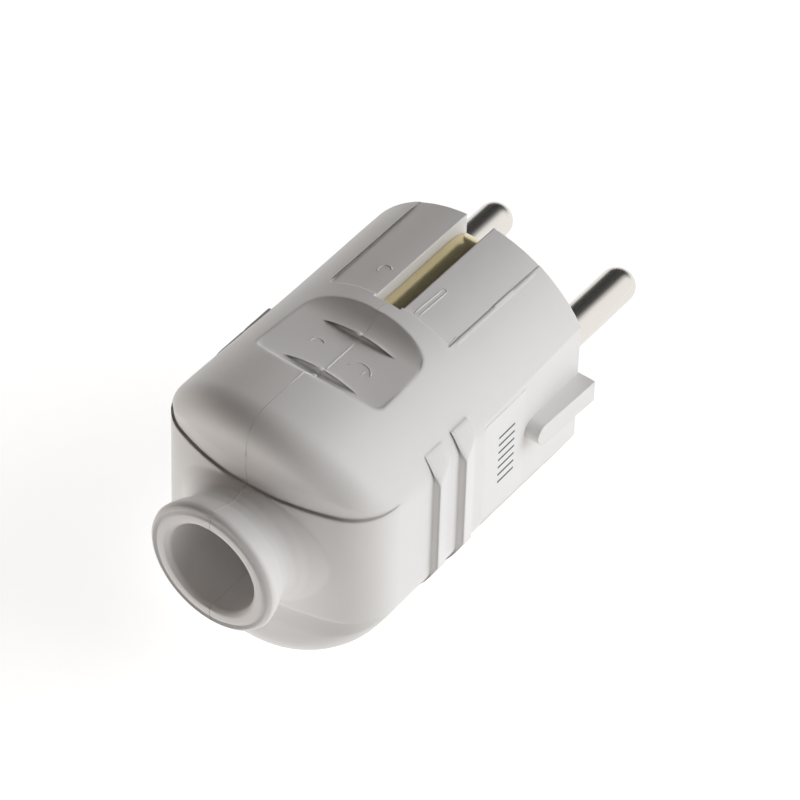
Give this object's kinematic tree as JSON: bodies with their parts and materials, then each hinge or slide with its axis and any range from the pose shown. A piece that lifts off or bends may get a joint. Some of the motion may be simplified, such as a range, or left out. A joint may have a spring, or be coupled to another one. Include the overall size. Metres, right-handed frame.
{
  "type": "type f plug",
  "caption": "White rewirable earthed plug with two round pins, recessed earth strips above and below, side guide rails, grip ribs, finger recesses and a flared cable collar.",
  "frame": {"origin": "centre of the front face, on the middle plane between the two pins", "axes": "+Y is the way the pins go into the outlet, +X runs from the line pin to the neutral pin, +Z runs from the lower to the upper earth contact"},
  "size_m": [0.0362, 0.0717, 0.0388],
  "materials": {
    "shell": "injection moulded white plastic with a satin surface",
    "carrier": "moulded thermoset, matt",
    "pin": "nickel-plated turned brass",
    "earth_contact": "stamped and bent brass strip",
    "screw": "zinc-plated steel",
    "sticker": "coated paper label with plain marks"
  },
  "bodies": {
    "root": {"shell_left": "shell", "shell_right": "shell", "pin_carrier": "carrier", "line_pin": "pin", "neutral_pin": "pin", "line_terminal_screw": "screw", "neutral_terminal_screw": "screw", "earth_bracket": "earth_contact", "earth_nut": "screw", "earth_wire_plate": "screw", "earth_terminal_screw": "screw", "cord_clamp_bar": "screw", "cord_clamp_screw_upper": "screw", "cord_clamp_screw_lower": "screw", "housing_screw": "screw", "side_sticker": "sticker"}
  },
  "joints": []
}
